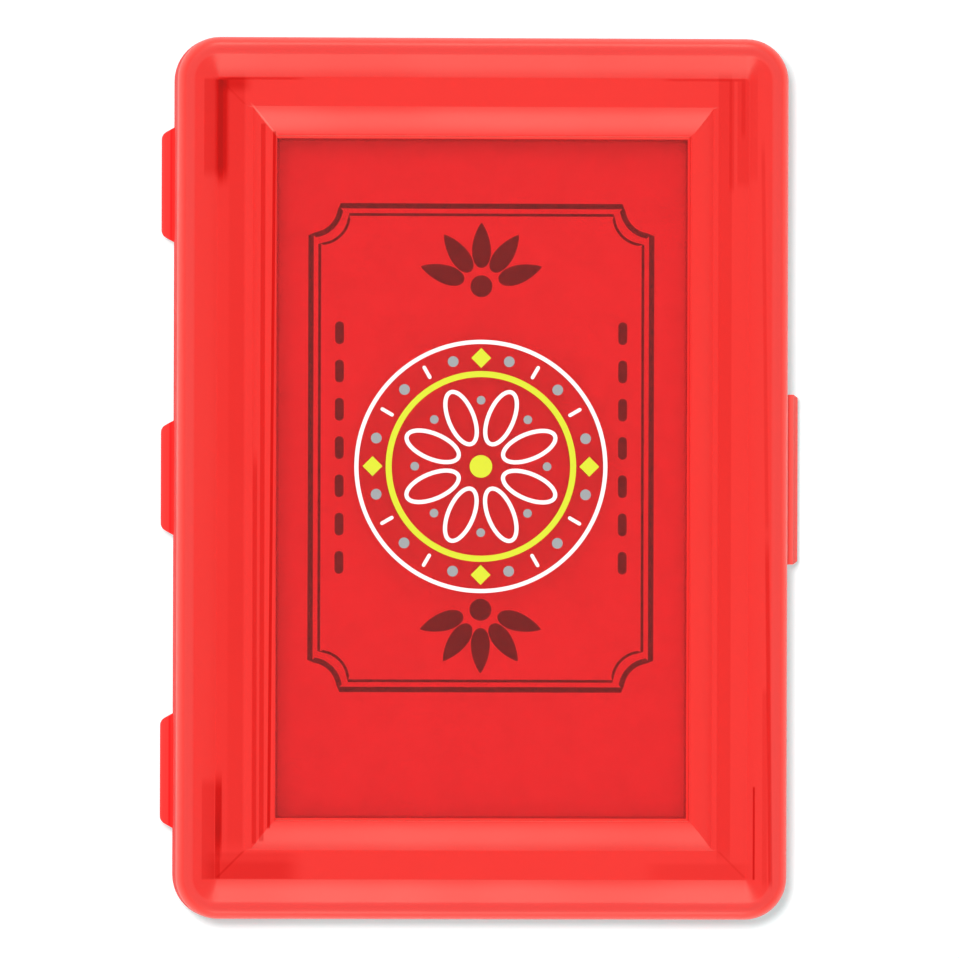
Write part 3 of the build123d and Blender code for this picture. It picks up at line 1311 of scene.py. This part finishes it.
@dataclass
class Studio:
    """The pale table, the room, a small overhead key light, two softboxes and the camera."""

    floor: StudioFloor = StudioFloor()
    floor_radius: float = 2.0
    floor_sides: int = 96

    room_light: float = 0.55
    horizon_light: float = 1.6
    horizon_top: float = 0.35
    horizon_gloss: float = 0.8
    side_gloss: float = 1.0
    ceiling_gloss: float = 0.3
    ceiling_inner: float = 0.985
    ceiling_outer: float = 0.93
    inside_light: float = 0.465
    inside_beam: float = 3.9
    beam_outer: float = 0.8
    beam_inner: float = 0.99
    beam_from: Place = (-0.200, 0.160, 0.967)

    key_place: Place = (-0.108, 0.056, 1.5)
    key_width: float = 0.09
    key_share: float = 0.57
    softboxes: tuple[Softbox, ...] = (
        Softbox("upper_softbox", (0.0, 0.75, 0.75), 3.5),
        Softbox("lower_softbox", (0.0, -0.75, 0.75), 2.7),
    )

    camera_distance: float = 1.6
    camera_tilt: float = radians(2.4)
    camera_roll: float = radians(0.17)
    camera_reach: float = 10.0
    picture_width: float = 0.1105
    sensor_millimetres: float = 36.0
    look_at: Place = (-0.0001, -0.0001, 0.015)

    def build(self) -> None:
        """Sets up the whole studio."""
        self.clear_defaults()
        self.lay_floor()
        self.light_room()
        for softbox in self.softboxes:
            self.hang_softbox(softbox)
        self.hang_key()
        self.place_camera()
        bpy.context.scene.view_settings.view_transform = "Standard"

    def clear_defaults(self) -> None:
        """Removes the objects of Blender's start-up file."""
        for name in ("Cube", "Light", "Camera"):
            if name in bpy.data.objects:
                bpy.data.objects.remove(bpy.data.objects[name])

    def lay_floor(self) -> None:
        """Lays a round table top under the case."""
        mesh = bmesh.new()
        bmesh.ops.create_circle(
            mesh, cap_ends=True, segments=self.floor_sides, radius=self.floor_radius
        )
        table = make_object("table", mesh)
        table.data.materials.append(self.floor.make())

    def light_room(self) -> None:
        """Lights the room evenly, mirrors a dim ceiling in the gloss, and shows the camera white."""
        world = bpy.data.worlds.new("studio room")
        bpy.context.scene.world = world
        world.use_nodes = True
        world.cycles.sampling_method = "NONE"
        sheet = NodeSheet(world.node_tree)
        direction = sheet.add("ShaderNodeTexCoord").outputs["Generated"]
        height = sheet.axes(direction)[2]
        fill = sheet.ramp(height, 0.0, self.horizon_top, self.horizon_light, self.room_light)
        sides = sheet.ramp(height, 0.0, self.horizon_top, self.horizon_gloss, self.side_gloss)
        gloss = sheet.ramp(height, self.ceiling_outer, self.ceiling_inner, sides, self.ceiling_gloss)
        paths = sheet.add("ShaderNodeLightPath").outputs
        strength = sheet.between(paths["Is Glossy Ray"], fill, gloss)
        inside = self.light_inside(sheet, direction)
        strength = sheet.between(paths["Is Transmission Ray"], strength, inside)
        strength = sheet.between(paths["Is Camera Ray"], strength, 1.0)
        background = sheet.add("ShaderNodeBackground", {"Color": WHITE, "Strength": strength})
        sheet.add("ShaderNodeOutputWorld", {"Surface": background.outputs[0]})

    def light_inside(self, sheet: NodeSheet, direction: Source) -> Socket:
        """Sends a broad beam through the window, from nearly overhead and a little from upper left.

        Args:
            sheet: The world's node tree.
            direction: The direction that is looked in.

        Returns:
            The room's brightness for light that has passed through clear plastic.
        """
        inputs = {0: direction, 1: self.beam_from}
        toward = sheet.add("ShaderNodeVectorMath", inputs, operation="DOT_PRODUCT").outputs["Value"]
        return sheet.ramp(
            toward, self.beam_outer, self.beam_inner, self.inside_light, self.inside_beam
        )

    def hang_lamp(
        self, name: str, place: Place, width: float, height: float, shape: str, energy: float
    ) -> bpy.types.Object:
        """Hangs an area lamp that faces the case.

        Args:
            name: The lamp's name.
            place: Its centre.
            width: Its width.
            height: Its height.
            shape: The name of its shape.
            energy: Its power in watts.

        Returns:
            The lamp.
        """
        data = bpy.data.lights.new(name, "AREA")
        data.shape = shape
        data.size, data.size_y = width, height
        data.energy = energy
        lamp = bpy.data.objects.new(name, data)
        lamp.location = place
        lamp.rotation_euler = (-Vector(place)).to_track_quat("-Z", "Y").to_euler()
        bpy.context.scene.collection.objects.link(lamp)
        return lamp

    def hang_softbox(self, softbox: Softbox) -> None:
        """Hangs a softbox.

        Args:
            softbox: What it is like.
        """
        width, height = softbox.width, softbox.height
        energy = softbox.brightness * pi * width * height
        lamp = self.hang_lamp(softbox.name, softbox.place, width, height, "RECTANGLE", energy)
        lamp.visible_diffuse = False

    def hang_key(self) -> None:
        """Hangs the key light nearly overhead, so that the case casts a short crisp shadow."""
        width = self.key_width
        energy = self.key_share * pi * pi * Vector(self.key_place).length ** 2
        key = self.hang_lamp("key", self.key_place, width, width, "DISK", energy)
        key.visible_glossy = False
        key.visible_transmission = False

    def place_camera(self) -> None:
        """Looks straight down, a little from the hinge side, through a long lens."""
        data = bpy.data.cameras.new("camera")
        data.sensor_width = self.sensor_millimetres
        data.lens = self.sensor_millimetres * self.camera_distance / self.picture_width
        data.clip_end = self.camera_reach
        camera = bpy.data.objects.new("camera", data)
        lean = Matrix.Rotation(-self.camera_tilt, 4, "Y")
        turn = Matrix.Rotation(self.camera_roll, 4, "Z")
        back = Matrix.Translation((0.0, 0.0, self.camera_distance))
        camera.matrix_world = Matrix.Translation(self.look_at) @ lean @ turn @ back
        bpy.context.scene.collection.objects.link(camera)
        bpy.context.scene.camera = camera


def main() -> None:
    """Builds the studio and dresses the case."""
    Studio().build()
    MouldedHalves().dress()
    HingeStrips().build()
    Deck().build()
    WindowPrint().build()


if __name__ == "__main__":
    main()
